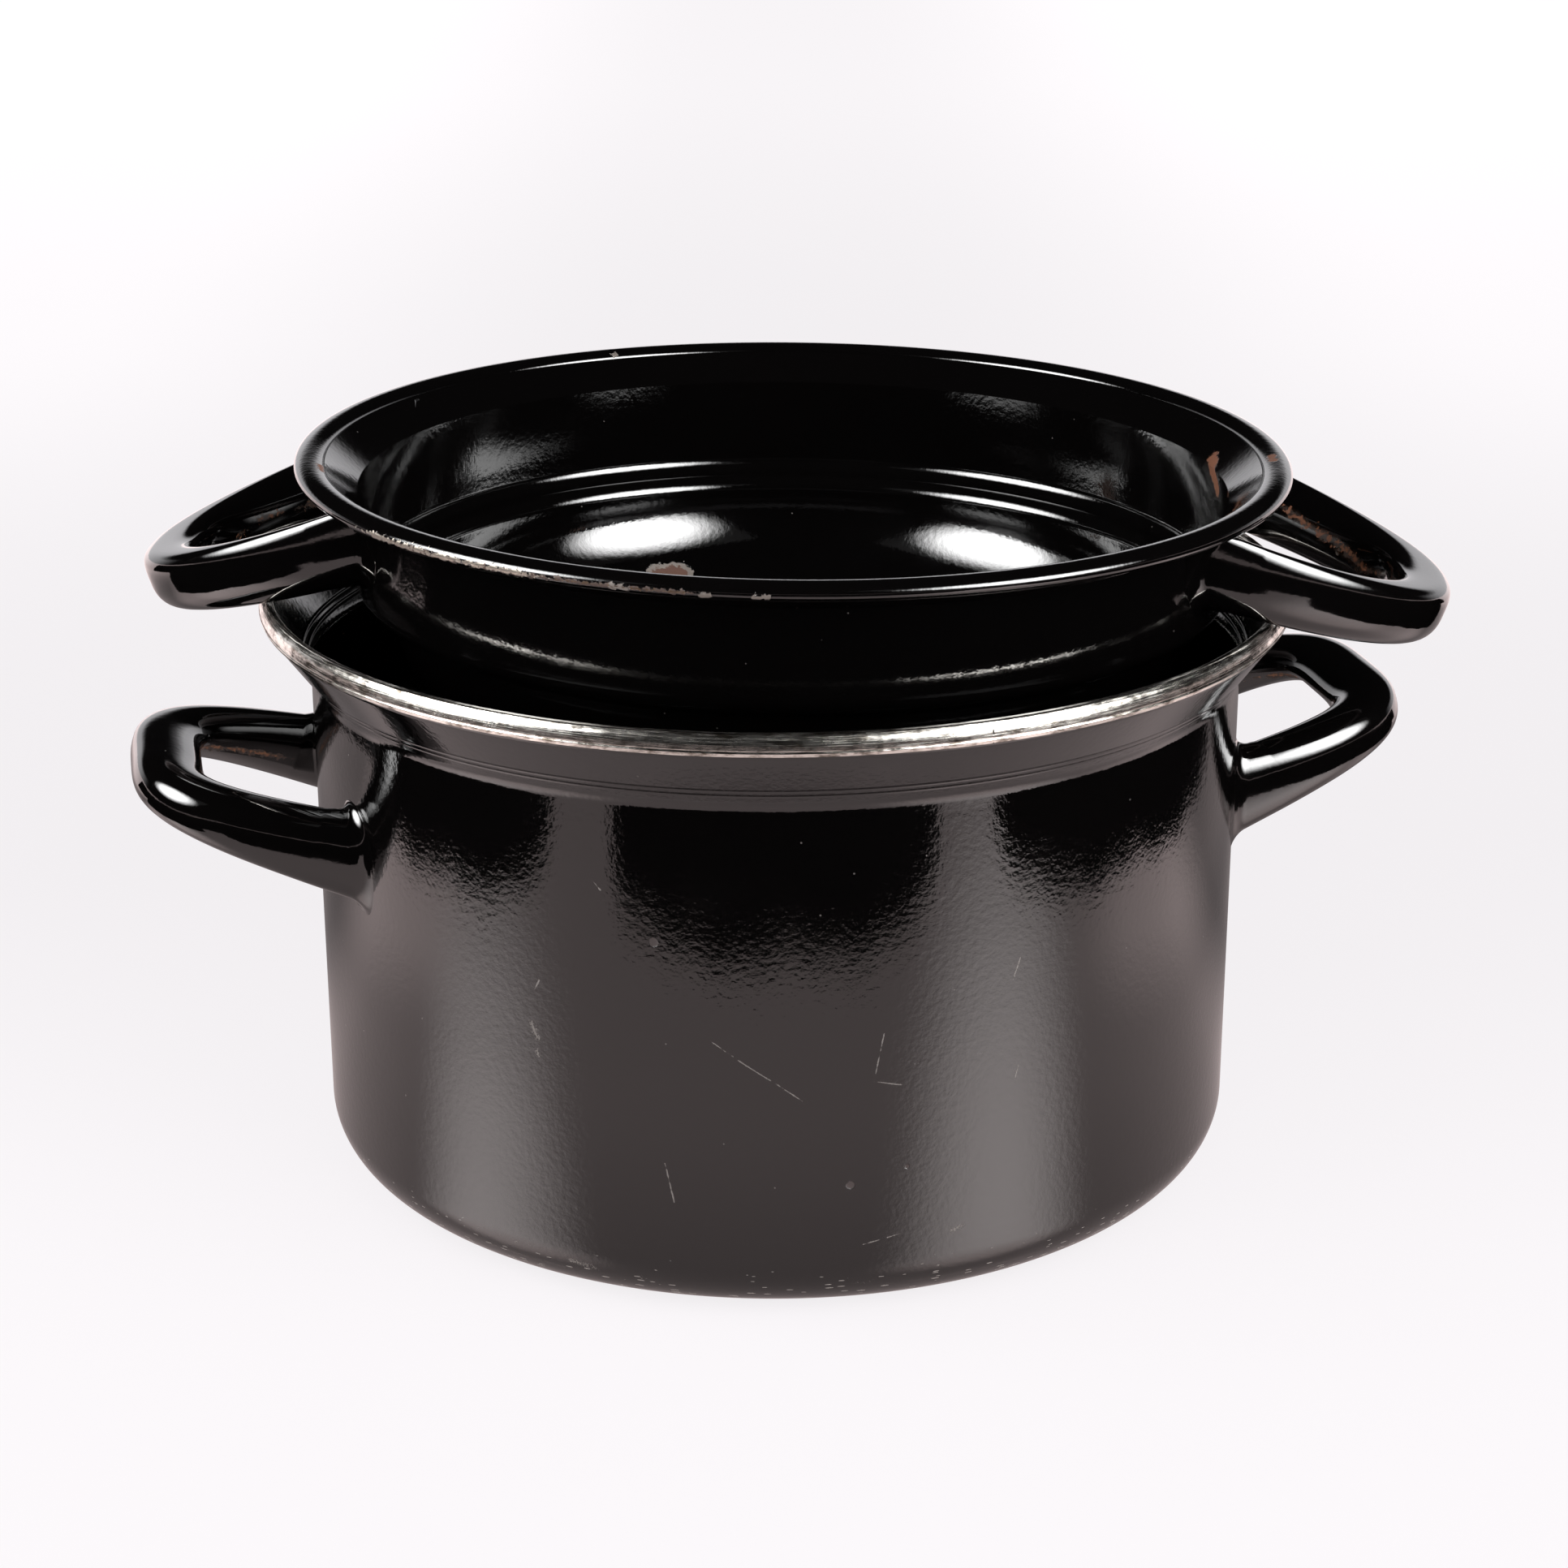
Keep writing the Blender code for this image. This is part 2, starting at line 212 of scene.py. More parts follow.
def edge_cap(inner_end, outer_end, away):
    """Points of a half round that closes a sheet's edge, from its inner to its outer side."""
    middle = (inner_end + outer_end) / 2
    across = (outer_end - inner_end) / 2
    points = []
    for k in range(1, CAP_STEPS):
        a = math.pi * k / CAP_STEPS
        points.append(middle - across * math.cos(a) + away * across.length * math.sin(a))
    return points


def shell_outline(middle, sheet):
    """Closed section of a sheet round its middle line, with a rounded free edge."""
    inner = offset_line(middle, -sheet / 2)
    outer = offset_line(middle, sheet / 2)
    away = (middle[-1] - middle[-2]).normalized()
    return inner + edge_cap(inner[-1], outer[-1], away) + outer[::-1]


def pot_middle_line():
    """Middle of the pot's sheet, from the axis out and up to the mouth."""
    half = BODY_SHEET / 2
    wall = BODY_RADIUS - half
    edge = MOUTH_RADIUS - half
    top = FLARE_FOOT_HEIGHT + (edge - wall) / math.tan(FLARE_ANGLE)
    return finer(rounded([
        (0.0, half, 0.0),
        (wall, half, BASE_ROUND - half),
        (wall, FLARE_FOOT_HEIGHT, FLARE_ROUND),
        (edge, top, MOUTH_ROUND),
        (edge, top + MOUTH_EDGE_HEIGHT, 0.0),
    ]), RUN_STEP)


def band_outline(mouth_top):
    """The band's section: a strip folded over the mouth, its face crowned above a rolled lip.

    The offsets from the outer edge are the small swells and hollows that catch the light.
    """
    outer = MOUTH_RADIUS + GAP + BAND_SHEET
    inner = outer - BAND_WIDTH
    top = mouth_top + BAND_TOP_GAP + BAND_SHEET
    foot = top - BAND_SKIRT
    return finer(rounded([
        (inner + BAND_SHEET, top - BAND_INNER_LEG, 0.0),
        (inner + BAND_SHEET, top - BAND_SHEET, 0.0004),
        (outer - 2 * BAND_SHEET, top - BAND_SHEET, 0.0003),
        (outer - 0.00092, foot + 0.0038, 0.0008),
        (outer - BAND_SHEET, foot + 0.0026, 0.0008),
        (outer - BAND_SHEET, foot, 0.0),
        (outer - 0.00030, foot, 0.0003),
        (outer + 0.0001, foot + 0.0011, 0.0003),
        (outer - 0.00025, foot + 0.0013, 0.0002),
        (outer - 0.00010, foot + 0.0016, 0.0004),
        (outer - 0.00032, foot + 0.0028, 0.0040),
        (outer - 0.00070, foot + 0.0040, 0.0030),
        (outer - 0.0016, top, 0.0009),
        (inner, top, BAND_EDGE_ROUND),
        (inner, top - BAND_INNER_LEG, 0.0002),
        (inner + BAND_SHEET, top - BAND_INNER_LEG, 0.0),
    ]), RUN_STEP)


def lid_middle_line():
    """Middle of the lid's sheet, from its dished floor out to the end of its curled edge."""
    half = LID_SHEET / 2
    wall = COLLAR_RADIUS - half
    bead_inner = BEAD_RADIUS - BEAD_WIDTH + half
    flare_top = COLLAR_HEIGHT + (bead_inner - wall) / math.tan(COLLAR_FLARE)
    line = finer(rounded([
        (0.0, half - BOWL_DEPTH, 0.0),
        (BOWL_FLOOR_RADIUS, half - BOWL_DEPTH, BOWL_ROUND),
        (wall - LEDGE_WIDTH, half, LEDGE_INNER_ROUND),
        (wall, half, LEDGE_OUTER_ROUND),
        (wall, COLLAR_HEIGHT, 0.0),
        (bead_inner, flare_top, 0.0),
    ]), RUN_STEP)
    across = (BEAD_WIDTH - LID_SHEET) / 2
    up = (BEAD_DEPTH - LID_SHEET) / 2
    centre = Vector((bead_inner + across, flare_top))
    pieces = math.ceil(BEAD_CURL / (2 * ARC_STEP))
    for k in range(1, pieces + 1):
        a = math.pi - BEAD_CURL * k / pieces
        line.append(centre + Vector((across * math.cos(a), up * math.sin(a))))
    return line


# Turned pieces


def turned_tree():
    """Turns an outline in the XZ plane about Z and keeps each point's way along it."""
    tree = bpy.data.node_groups.new("Turned piece", "GeometryNodeTree")
    for name, kind in (("Outline", "Geometry"), ("Facets", "Int"), ("Finish", "Material")):
        tree.interface.new_socket(name, in_out="INPUT", socket_type="NodeSocket" + kind)
    tree.interface.new_socket("Piece", in_out="OUTPUT", socket_type="NodeSocketGeometry")
    given = add(tree, "NodeGroupInput").outputs
    size = add(tree, "GeometryNodeAttributeDomainSize", {"Geometry": given["Outline"]})
    columns = add(tree, "FunctionNodeIntegerMath", {0: given["Facets"], 1: 1}, operation="ADD")
    grid = add(tree, "GeometryNodeMeshGrid", {
        "Size X": 1.0, "Size Y": 1.0, "Vertices X": size.outputs["Point Count"],
        "Vertices Y": columns,
    })
    index = add(tree, "GeometryNodeInputIndex")
    row = add(tree, "FunctionNodeIntegerMath", {
        0: index, 1: columns,
    }, operation="DIVIDE_FLOOR")
    column = add(tree, "FunctionNodeIntegerMath", {0: index, 1: columns}, operation="MODULO")
    share = add(tree, "ShaderNodeMath", {0: column, 1: given["Facets"]}, operation="DIVIDE")
    angle = add(tree, "ShaderNodeMath", {0: share, 1: math.tau}, operation="MULTIPLY")
    place = add(tree, "GeometryNodeInputPosition")
    point = add(tree, "GeometryNodeSampleIndex", {
        "Geometry": given["Outline"], "Value": place, "Index": row,
    }, data_type="FLOAT_VECTOR", domain="POINT")
    turn = add(tree, "ShaderNodeVectorRotate", {
        "Vector": point, "Angle": angle,
    }, rotation_type="Z_AXIS")
    placed = add(tree, "GeometryNodeSetPosition", {
        "Geometry": grid.outputs["Mesh"], "Position": turn,
    })
    along = add(tree, "GeometryNodeInputNamedAttribute", {"Name": "along"}, data_type="FLOAT")
    way = add(tree, "GeometryNodeSampleIndex", {
        "Geometry": given["Outline"], "Value": along, "Index": row,
    }, data_type="FLOAT", domain="POINT")
    stored = add(tree, "GeometryNodeStoreNamedAttribute", {
        "Geometry": placed, "Name": "along", "Value": way,
    }, data_type="FLOAT", domain="POINT")
    merged = add(tree, "GeometryNodeMergeByDistance", {
        "Geometry": stored, "Distance": SAME_POINT,
    })
    smooth = add(tree, "GeometryNodeSetShadeSmooth", {"Geometry": merged})
    real = add(tree, "GeometryNodeRealizeInstances", {"Geometry": smooth})
    finish = add(tree, "GeometryNodeSetMaterial", {
        "Geometry": real, "Material": given["Finish"],
    })
    add(tree, "NodeGroupOutput", {0: finish})
    return tree


def settle(piece, body, node):
    """The piece rides on its body and stands for its solid, which is hidden."""
    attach(piece, body)
    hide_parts(node)


def turned(name, outline, finish, place=Matrix.Identity(4)):
    """A plain mesh of the outline turned about Z, put in its place."""
    line = bpy.data.meshes.new(name)
    line.from_pydata([(p.x, 0.0, p.y) for p in outline],
                     [(i, i + 1) for i in range(len(outline) - 1)], [])
    way = line.attributes.new("along", "FLOAT", "POINT")
    done = 0.0
    for i, p in enumerate(outline):
        done += (p - outline[i - 1]).length if i else 0.0
        way.data[i].value = done
    piece = bpy.data.objects.new(name, line)
    bpy.context.scene.collection.objects.link(piece)
    turn = piece.modifiers.new("Turned piece", "NODES")
    turn.node_group = TURNED
    sockets = {s.name: s.identifier
               for s in TURNED.interface.items_tree if s.in_out == "INPUT"}
    turn[sockets["Facets"]] = FACETS
    turn[sockets["Finish"]] = finish
    evaluated = piece.evaluated_get(bpy.context.evaluated_depsgraph_get())
    mesh = bpy.data.meshes.new_from_object(evaluated)
    piece.modifiers.remove(turn)
    mesh.transform(place)
    shape = bmesh.new()
    shape.from_mesh(mesh)
    if shape.calc_volume(signed=True) < 0.0:
        bmesh.ops.reverse_faces(shape, faces=shape.faces[:])
    shape.to_mesh(mesh)
    shape.free()
    mesh.set_sharp_from_angle(angle=CREASE)
    piece.data = mesh
    mesh.name = name
    return piece


# Loop handles


def radius_at(line, height):
    """Radius of a rising line of points (r, z) at a height, held level past its ends."""
    for low, high in zip(line, line[1:]):
        if low.y <= height <= high.y:
            return low.lerp(high, (height - low.y) / max(high.y - low.y, 1e-9)).x
    return line[0].x if height < line[0].y else line[-1].x


def loop_mesh(name, wall, size):
    """A loop lofted from foot to foot against the wall's outline."""
    reach, half_span, taper = size["reach"], size["half_span"], size["taper"]
    run = Vector((math.cos(size["rise"]), 0.0, math.sin(size["rise"])))
    foot = math.sqrt(radius_at(wall, size["height"]) ** 2 - half_span ** 2)

    def place(u, v, n):
        """The point u out from the foot, v across and n up from the handle's plane."""
        return Vector((
            foot + u * run.x - n * run.z,
            v,
            size["height"] + u * run.z + n * run.x,
        ))

    def section(centre, side, swell):
        """A ring of points and their ways from the seam, swollen towards the weld."""
        share = min(max(centre.x / reach, 0.0), 1.0)
        width = size["width"][0] + (size["width"][1] - size["width"][0]) * share
        depth = size["depth"][0] + (size["depth"][1] - size["depth"][0]) * share
        # The tip's face is pressed flat, the legs are rounder and lean
        tip = share ** 2
        square = size["squareness"][0] + (size["squareness"][1] - size["squareness"][0]) * tip
        lean = size["lean"][0] + (size["lean"][1] - size["lean"][0]) * tip
        ring = []
        for k in range(SECTION_POINTS):
            a = math.tau * (k + 0.5) / SECTION_POINTS
            power = 2 / (square if math.sin(a) > 0.0 else size["squareness"][2])
            c = math.copysign(abs(math.cos(a)) ** power, math.cos(a))
            s = math.copysign(abs(math.sin(a)) ** power, math.sin(a))
            # The side next to the wall draws back towards the upper face, or the lower one
            c += (1.0 - c) * abs(lean) * max(0.0, s if lean > 0.0 else -s)
            q = c * (width / 2 + swell)
            n = s * (depth / 2 + swell)
            # The seam is where the pressed sheet's two edges meet, on the side of the pot
            off = abs(n + depth * SEAM_DROP) if c < 0.0 else 1.0
            dip = SEAM_DEPTH * math.exp(-(off / (SEAM_WIDTH / 2)) ** 2)
            u, v = centre.x + side.x * (q + dip), centre.y + side.y * (q + dip)
            ring.append((place(u, v, n), off))
        return ring

    def at_wall(ring, distance):
        """The ring slid along the handle until it lies at a distance from the wall."""
        skin = offset_line(wall, distance)
        slid = []
        for p, off in ring:
            near, far = -FOOT_REACH, FOOT_REACH
            for _ in range(FOOT_HALVINGS):
                middle = (near + far) / 2
                q = p + run * middle
                if math.hypot(q.x, q.y) < radius_at(skin, q.z):
                    near = middle
                else:
                    far = middle
            slid.append((p + run * far, off))
        return slid

    # Half the path, from one foot to the tip, in points of equal distance
    fine = []
    for k in range(PATH_POINTS + 1):
        t = math.pi / 2 * k / PATH_POINTS
        u = reach * math.sin(t) ** (2 / size["corner"])
        across = max(math.cos(t), 0.0) ** (2 / size["corner"])
        fine.append(Vector((u, -half_span * (1 - taper * u / reach) * across)))
    lengths = [0.0]
    for a, b in zip(fine, fine[1:]):
        lengths.append(lengths[-1] + (b - a).length)
    half = []
    k = 0
    for i in range(LOOP_POINTS + 1):
        at = lengths[-1] * i / LOOP_POINTS
        while k < len(fine) - 2 and lengths[k + 1] < at:
            k += 1
        share = (at - lengths[k]) / (lengths[k + 1] - lengths[k])
        half.append(fine[k].lerp(fine[k + 1], min(max(share, 0.0), 1.0)))

    rings = []
    start = Vector((0.0, -half_span))
    for share in WELD_SHARES:
        swell = WELD_ROUND * (1.0 - math.sqrt(1.0 - (1.0 - share) ** 2))
        ring = section(start, Vector((0.0, -1.0)), swell)
        rings.append(at_wall(ring, -WELD_SINK + (WELD_ROUND + WELD_SINK) * share))
    for i in range(1, len(half)):
        ahead = half[i + 1] if i + 1 < len(half) else Vector((half[i - 1].x, -half[i - 1].y))
        way = (ahead - half[i - 1]).normalized()
        ring = section(half[i], Vector((way.y, -way.x)), 0.0)
        clear = min(math.hypot(p.x, p.y) - radius_at(wall, p.z) for p, _ in ring)
        if clear > WELD_END:
            rings.append(ring)
    for ring in rings[-2::-1]:
        rings.append([(Vector((p.x, -p.y, p.z)), off) for p, off in ring])

    shape = bmesh.new()
    seam = shape.verts.layers.float.new("seam")
    grid = []
    for ring in rings:
        row = []
        for p, off in ring:
            vert = shape.verts.new(p)
            vert[seam] = min(off, SEAM_FAR)
            row.append(vert)
        grid.append(row)
    for one, two in zip(grid, grid[1:]):
        for k in range(SECTION_POINTS):
            n = (k + 1) % SECTION_POINTS
            shape.faces.new((one[k], one[n], two[n], two[k]))
    shape.faces.new(grid[0])
    shape.faces.new(grid[-1])
    bmesh.ops.recalc_face_normals(shape, faces=shape.faces[:])
    for face in shape.faces:
        face.smooth = len(face.verts) == 4
    mesh = bpy.data.meshes.new(name)
    shape.to_mesh(mesh)
    shape.free()
    return mesh


def handle(name, wall, size, turn, finish, place=Matrix.Identity(4)):
    """A loop handle turned about Z to its side, put in its place."""
    mesh = loop_mesh(name, wall, size)
    mesh.transform(place @ Matrix.Rotation(turn, 4, "Z"))
    mesh.materials.append(finish)
    piece = bpy.data.objects.new(name, mesh)
    bpy.context.scene.collection.objects.link(piece)
    return piece


# Finishes


def nearest(tree, where, marks):
    """How far outside the nearest mark a point lies. A mark is (start, end, radius)."""
    least = None
    for start, end, radius in marks:
        start, end = Vector(start), Vector(end)
        run = end - start
        off = add(tree, "ShaderNodeVectorMath", {0: where, 1: start}, operation="SUBTRACT")
        if run.length > 0.0:
            share = add(tree, "ShaderNodeVectorMath", {
                0: off, 1: run / run.length_squared,
            }, operation="DOT_PRODUCT")
            held = add(tree, "ShaderNodeClamp", {"Value": share.outputs["Value"]})
            foot = add(tree, "ShaderNodeVectorMath", {
                0: run, "Scale": held,
            }, operation="SCALE")
            off = add(tree, "ShaderNodeVectorMath", {0: off, 1: foot}, operation="SUBTRACT")
        far = add(tree, "ShaderNodeVectorMath", {0: off}, operation="LENGTH")
        out = add(tree, "ShaderNodeMath", {
            0: far.outputs["Value"], 1: radius,
        }, operation="SUBTRACT")
        if least is not None:
            out = add(tree, "ShaderNodeMath", {0: least, 1: out}, operation="MINIMUM")
        least = out
    return least


def within(tree, value, ragged, full, none):
    """Mask that falls from 1 at full to 0 at none of a value that a noise makes ragged."""
    rough = add(tree, "ShaderNodeMath", {0: ragged, 1: value}, operation="ADD")
    return add(tree, "ShaderNodeMapRange", {
        "Value": rough, "From Min": full, "From Max": none, "To Min": 1.0, "To Max": 0.0,
    })


def spread(tree, where, scale, reach):
    """Noise about zero, reach either way, that makes an edge ragged."""
    noise = add(tree, "ShaderNodeTexNoise", {
        "Vector": where, "Scale": scale, "Detail": 4.0, "Roughness": 0.6,
    })
    return add(tree, "ShaderNodeMapRange", {
        "Value": noise, "From Min": 0.25, "From Max": 0.75, "To Min": -reach, "To Max": reach,
    }, clamp=False)


def paint(hexcode, level=1.0):
    """Opaque colour of an sRGB hex value, at a share of its light."""
    return (*[level * c for c in linear(hexcode)], 1.0)


class Coat:
    """Vitreous enamel: black glass fused on pressed steel, wet-looking, faintly rippled.

    The eye sees it almost only by what it mirrors, so its ripple, its film of use and its
    damage are what tell it from plastic.
    """

    def __init__(self, name, peel, film):
        self.material = bpy.data.materials.new(name)
        self.material.use_nodes = True
        tree = self.tree = self.material.node_tree
        self.shader = tree.nodes["Principled BSDF"]
        self.shader.inputs["IOR"].default_value = ENAMEL_IOR
        self.where = add(tree, "ShaderNodeTexCoord").outputs["Object"]
        # Orange peel of about 1.5 mm on the sheet's own slow waves of about 40 mm
        fine = add(tree, "ShaderNodeTexNoise", {
            "Vector": self.where, "Scale": 640.0, "Detail": 3.0, "Roughness": 0.55,
        })
        slow = add(tree, "ShaderNodeTexNoise", {
            "Vector": self.where, "Scale": 26.0, "Detail": 1.0,
        })
        waves = add(tree, "ShaderNodeMath", {0: slow, 1: SLOW_WAVE}, operation="MULTIPLY")
        self.height = add(tree, "ShaderNodeMath", {
            0: fine, 1: peel, 2: waves,
        }, operation="MULTIPLY_ADD")
        # A film of use: wiped patches a little duller than the rest
        wiped = add(tree, "ShaderNodeTexNoise", {
            "Vector": self.where, "Scale": 34.0, "Detail": 5.0, "Roughness": 0.62,
        })
        self.rough = add(tree, "ShaderNodeMapRange", {
            "Value": wiped, "From Min": 0.40, "From Max": 0.72, "To Min": film * 0.6,
            "To Max": film * 1.5,
        })
        self.metal = None
        self.colour = paint(ENAMEL)
        # Dust and tiny nicks: a dot 0.4 mm wide in about one of four cells of 6 mm
        cells = add(tree, "ShaderNodeTexVoronoi", {"Vector": self.where, "Scale": 165.0})
        dot = add(tree, "ShaderNodeMath", {0: cells, 1: 0.035}, operation="LESS_THAN")
        pick = add(tree, "ShaderNodeSeparateColor", {"Color": cells.outputs["Color"]})
        few = add(tree, "ShaderNodeMath", {0: pick, 1: 0.72}, operation="GREATER_THAN")
        dust = add(tree, "ShaderNodeMath", {0: dot, 1: few}, operation="MULTIPLY")
        faint = add(tree, "ShaderNodeMath", {0: dust, 1: 0.6}, operation="MULTIPLY")
        self.lay(faint, "6f6a66", 0.55)

    def lay(self, mask, colour, rough, metal=None, rise=0.0):
        """Lays a colour and a roughness over the coat where mask says, rise metres proud."""
        tree = self.tree
        self.colour = add(tree, "ShaderNodeMix", {
            "Factor": mask, 6: self.colour, 7: paint(colour),
        }, data_type="RGBA").outputs[2]
        self.rough = add(tree, "ShaderNodeMix", {"Factor": mask, 2: self.rough, 3: rough})
        if metal is not None:
            bare = add(tree, "ShaderNodeMath", {0: mask, 1: metal}, operation="MULTIPLY")
            if self.metal is not None:
                bare = add(tree, "ShaderNodeMath", {
                    0: self.metal, 1: bare,
                }, operation="MAXIMUM")
            self.metal = bare
        if rise:
            self.height = add(tree, "ShaderNodeMath", {
                0: mask, 1: rise, 2: self.height,
            }, operation="MULTIPLY_ADD")

    def done(self):
        """Joins what was laid to the shader."""
        tree = self.tree
        bump = add(tree, "ShaderNodeBump", {
            "Height": self.height, "Distance": 1.0, "Strength": 1.0,
        })
        tree.links.new(bump.outputs[0], self.shader.inputs["Normal"])
        tree.links.new(self.colour, self.shader.inputs["Base Color"])
        tree.links.new(self.rough.outputs[0], self.shader.inputs["Roughness"])
        if self.metal is not None:
            tree.links.new(self.metal.outputs[0], self.shader.inputs["Metallic"])
        return self.material


def body_finish():
    """The body's coat: scratched by the hob and the sink, nicked along its bottom edge."""
    coat = Coat("vitreous enamel, pot body", peel=0.00005, film=0.06)
    tree, where = coat.tree, coat.where
    ragged = spread(tree, where, 900.0, 0.00025)
    hair = nearest(tree, where, BODY_SCRATCHES)
    broken = add(tree, "ShaderNodeTexNoise", {"Vector": where, "Scale": 420.0, "Detail": 3.0})
    skips = add(tree, "ShaderNodeMapRange", {
        "Value": broken, "From Min": 0.47, "From Max": 0.62, "To Min": 0.0, "To Max": 0.00020,
    })
    thin = add(tree, "ShaderNodeMath", {0: hair, 1: skips}, operation="ADD")
    fine = spread(tree, where, 1500.0, 0.00008)
    coat.lay(within(tree, thin, fine, 0.0, 0.00012), "6f6a66", 0.45, rise=-0.00001)
    scuffs = nearest(tree, where, BODY_SCUFFS)
    coarse = spread(tree, where, 2600.0, 0.0009)
    coat.lay(within(tree, scuffs, coarse, -0.0003, 0.0001), "6a6560", 0.5, rise=-0.00001)
    pits = nearest(tree, where, BODY_PITS)
    coat.lay(within(tree, pits, ragged, 0.0, 0.0003), "2a1c1a", 0.6, rise=-0.00012)
    # Nicks crowd towards the bottom edge, which is set down and dragged
    parts = add(tree, "ShaderNodeSeparateXYZ", {0: where})
    angle = add(tree, "ShaderNodeMath", {
        0: parts.outputs["Y"], 1: parts.outputs["X"],
    }, operation="ARCTAN2")
    flat = add(tree, "ShaderNodeCombineXYZ", {0: angle, 1: parts.outputs["Z"]})
    long = add(tree, "ShaderNodeMapping", {"Vector": flat, "Scale": (26.0, 1300.0, 1.0)})
    cells = add(tree, "ShaderNodeTexVoronoi", {"Vector": long, "Scale": 1.0})
    low = add(tree, "ShaderNodeMapRange", {
        "Value": parts.outputs["Z"], "From Min": 0.003, "From Max": 0.016, "To Min": 0.32,
        "To Max": 0.0,
    })
    inside = add(tree, "ShaderNodeMath", {0: cells, 1: low}, operation="LESS_THAN")
    pick = add(tree, "ShaderNodeSeparateColor", {"Color": cells.outputs["Color"]})
    few = add(tree, "ShaderNodeMath", {0: pick, 1: 0.52}, operation="GREATER_THAN")
    nicks = add(tree, "ShaderNodeMath", {0: inside, 1: few}, operation="MULTIPLY")
    coat.lay(nicks, "8a847e", 0.5, rise=-0.00002)
    # Two fine lines that the press left round the flare, drawn 1.2 mm wide so that they show
    for height in PRESS_LINES:
        off = add(tree, "ShaderNodeMath", {
            0: parts.outputs["Z"], 1: height,
        }, operation="SUBTRACT")
        away = add(tree, "ShaderNodeMath", {0: off}, operation="ABSOLUTE")
        dip = add(tree, "ShaderNodeMapRange", {
            "Value": away, "From Max": 0.0006, "To Min": -0.00022, "To Max": 0.0,
        }, interpolation_type="SMOOTHSTEP")
        coat.height = add(tree, "ShaderNodeMath", {0: dip, 1: coat.height}, operation="ADD")
    return coat.done()


def lid_finish(bead_way):
    """The lid's coat: rubbed to the steel along the bead it is set down on, and chipped."""
    coat = Coat("vitreous enamel, lid", peel=0.000028, film=0.07)
    tree, where = coat.tree, coat.where
    # Way round the lid's axis, from the front, and way across its bead
    centred = add(tree, "ShaderNodeMapping", {"Vector": where, "Location": (-LID_SHIFT, 0, 0)})
    parts = add(tree, "ShaderNodeSeparateXYZ", {0: centred})
    front = add(tree, "ShaderNodeMath", {0: parts.outputs["Y"], 1: -1.0}, operation="MULTIPLY")
    angle = add(tree, "ShaderNodeMath", {0: parts.outputs["X"], 1: front}, operation="ARCTAN2")
    along = add(tree, "ShaderNodeAttribute", attribute_name="along").outputs["Fac"]
    across = add(tree, "ShaderNodeMath", {0: along, 1: bead_way}, operation="SUBTRACT")
    off = add(tree, "ShaderNodeMath", {0: across}, operation="ABSOLUTE")
    for start, end, width, colour, rough, metal, raggedness, grain in BEAD_WEAR:
        middle = math.radians(start + end) / 2
        half = math.radians(end - start) / 2
        turn = add(tree, "ShaderNodeMath", {0: angle, 1: middle}, operation="SUBTRACT")
        away = add(tree, "ShaderNodeMath", {0: turn}, operation="ABSOLUTE")
        # The rubbed strip narrows to nothing at both its ends
        narrow = add(tree, "ShaderNodeMapRange", {
            "Value": away, "From Min": half * 0.55, "From Max": half, "To Min": 0.0,
            "To Max": 0.003,
        })
        out = add(tree, "ShaderNodeMath", {0: off, 1: narrow}, operation="ADD")
        ragged = spread(tree, where, grain, raggedness)
        mask = within(tree, out, ragged, width - 0.0001, width + 0.0001)
        coat.lay(mask, colour, rough, metal, rise=-0.00004)
    ragged = spread(tree, where, 700.0, 0.0008)
    rust = nearest(tree, where, LID_RUST)
    coat.lay(within(tree, rust, ragged, -0.0002, 0.0003), "6b3d20", 0.45, rise=-0.00003)
    chips = nearest(tree, where, LID_CHIPS)
    coat.lay(within(tree, chips, ragged, 0.0, 0.0002), "6f665e", 0.5, rise=-0.00010)
    coat.lay(within(tree, chips, ragged, -0.0012, -0.0008), "4c2a18", 0.8, rise=-0.00006)
    return coat.done()


def handle_finish():
    """The handles' coat, thin where the two pressed halves meet: that seam rusts."""
    coat = Coat("vitreous enamel, handles", peel=0.000012, film=0.06)
    tree, where = coat.tree, coat.where
    seam = add(tree, "ShaderNodeAttribute", attribute_name="seam").outputs["Fac"]
    # The seam's rust comes and goes every 20 mm or so
    patches = add(tree, "ShaderNodeTexNoise", {"Vector": where, "Scale": 45.0, "Detail": 2.0})
    clean = add(tree, "ShaderNodeMapRange", {
        "Value": patches, "From Min": 0.44, "From Max": 0.56, "To Min": 0.0012,
        "To Max": -0.0003,
    })
    sound = add(tree, "ShaderNodeMath", {0: seam, 1: clean}, operation="ADD")
    ragged = spread(tree, where, 420.0, 0.0011)
    coat.lay(within(tree, sound, ragged, 0.0003, 0.0008), "33200f", 0.6)
    fleck = spread(tree, where, 1100.0, 0.0014)
    coat.lay(within(tree, sound, fleck, -0.0004, 0.0001), "8c5b3a", 0.8)
    # Where the photograph shows it, the rust is broken into flecks on a dark stain
    rust = nearest(tree, where, HANDLE_RUST)
    coat.lay(within(tree, rust, ragged, -0.0010, 0.0002), "22140b", 0.35)
    loose = spread(tree, where, 800.0, 0.0028)
    coat.lay(within(tree, rust, loose, -0.0018, -0.0010), "6b3d20", 0.45)
    return coat.done()


